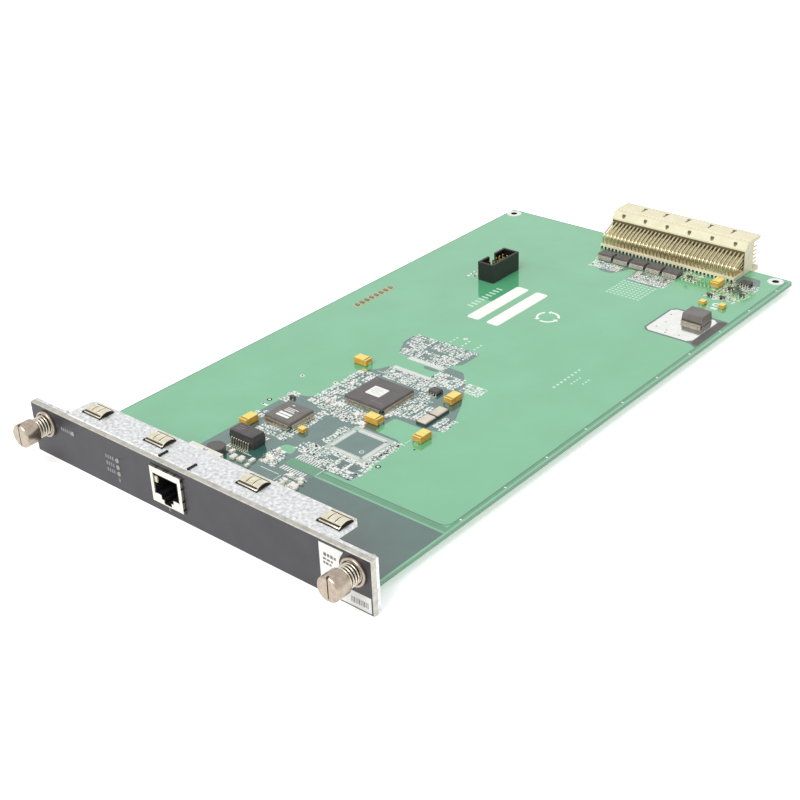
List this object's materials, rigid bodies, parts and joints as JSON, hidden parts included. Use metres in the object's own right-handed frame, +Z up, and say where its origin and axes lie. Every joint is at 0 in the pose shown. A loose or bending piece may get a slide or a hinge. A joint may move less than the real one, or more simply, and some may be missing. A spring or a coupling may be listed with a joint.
{
  "type": "wan media module",
  "caption": "Plug-in card for a network chassis with a network port, captive screws and a rear backplane connector.",
  "frame": {"origin": "centre of the bounding box in X and Y, on its underside (the faceplate's lower edge) in Z", "axes": "+X along the faceplate to the viewer's right, +Y from the faceplate to the backplane connector, +Z up from the board's component side"},
  "size_m": [0.1728, 0.3182, 0.0224],
  "materials": {
    "panel": "satin dark paint on the front, bare edges",
    "sticker": "white paper-faced film",
    "zinc": "bright zinc plate",
    "finger": "tin plate over copper alloy",
    "steel": "bright nickel plate",
    "spring": "plated spring wire",
    "shield": "tin plated sheet",
    "black": "black moulding",
    "gold": "gold plate",
    "lens": "clear diffused lens",
    "board": "green solder mask over glass laminate",
    "header": "dark grey moulding",
    "cream": "cream moulding",
    "pin": "tin plate over copper alloy",
    "chip": "moulded epoxy",
    "paper": "white paper",
    "tinned": "tin-lead plate",
    "pad": "hot-air levelled solder",
    "ceramic": "fired ceramic",
    "tantalum": "amber moulding",
    "resistor": "black glaze"
  },
  "bodies": {
    "module": {"faceplate": "panel", "serial_label": "sticker", "front_bracket": "zinc", "bracket_screws": "zinc", "left_ferrule": "zinc", "right_ferrule": "zinc", "ground_finger_1": "finger", "ground_finger_2": "finger", "ground_finger_3": "finger", "ground_finger_4": "finger", "left_spring": "spring", "right_spring": "spring", "network_jack_shell": "shield", "network_jack_insert": "black", "alarm_light_block": "black", "status_light_block": "black", "network_jack_contacts": "gold", "header_pins": "gold", "alarm_light": "lens", "status_light_1": "lens", "status_light_2": "lens", "status_light_3": "lens", "circuit_board": "board", "header_shell": "header", "connector_housing": "cream", "pin_organizer": "cream", "connector_pins": "pin", "processor_body": "chip", "framer_body": "chip", "transformer_body": "chip", "choke": "chip", "buffer_chips": "chip", "small_chips": "chip", "crystal_bases": "chip", "regulator_body": "chip", "transistors": "chip", "processor_label": "paper", "processor_leads": "tinned", "framer_leads": "tinned", "transformer_leads": "tinned", "buffer_chip_leads": "tinned", "small_chip_leads": "tinned", "large_tantalum_terminals": "tinned", "small_tantalum_terminals": "tinned", "regulator_tab": "tinned", "regulator_leads": "tinned", "transistor_leads": "tinned", "heat_pad": "pad", "crystal_lids": "ceramic", "chip_passives": "ceramic", "large_tantalums": "tantalum", "small_tantalums": "tantalum", "resistor_row": "resistor"},
    "left_retainer": {"left_retaining_ring": "steel"},
    "left_screw": {"left_thumbscrew": "steel"},
    "right_retainer": {"right_retaining_ring": "steel"},
    "right_screw": {"right_thumbscrew": "steel"}
  },
  "joints": [
    {"name": "left_screw_push", "type": "slide", "parent": "module", "child": "left_retainer", "axis": [0, 1, 0], "range_m": [0, 0.005], "stiffness_N_per_m": 300, "springref_m": -0.004, "deforming": ["left_spring"]},
    {"name": "left_screw_turn", "type": "hinge", "parent": "left_retainer", "child": "left_screw", "pos_m": [-0.0772, -0.14645, 0.0149], "axis": [0, 1, 0], "continuous": true},
    {"name": "right_screw_push", "type": "slide", "parent": "module", "child": "right_retainer", "axis": [0, 1, 0], "range_m": [0, 0.005], "stiffness_N_per_m": 300, "springref_m": -0.004, "deforming": ["right_spring"]},
    {"name": "right_screw_turn", "type": "hinge", "parent": "right_retainer", "child": "right_screw", "pos_m": [0.0791, -0.14645, 0.0149], "axis": [0, 1, 0], "continuous": true}
  ]
}
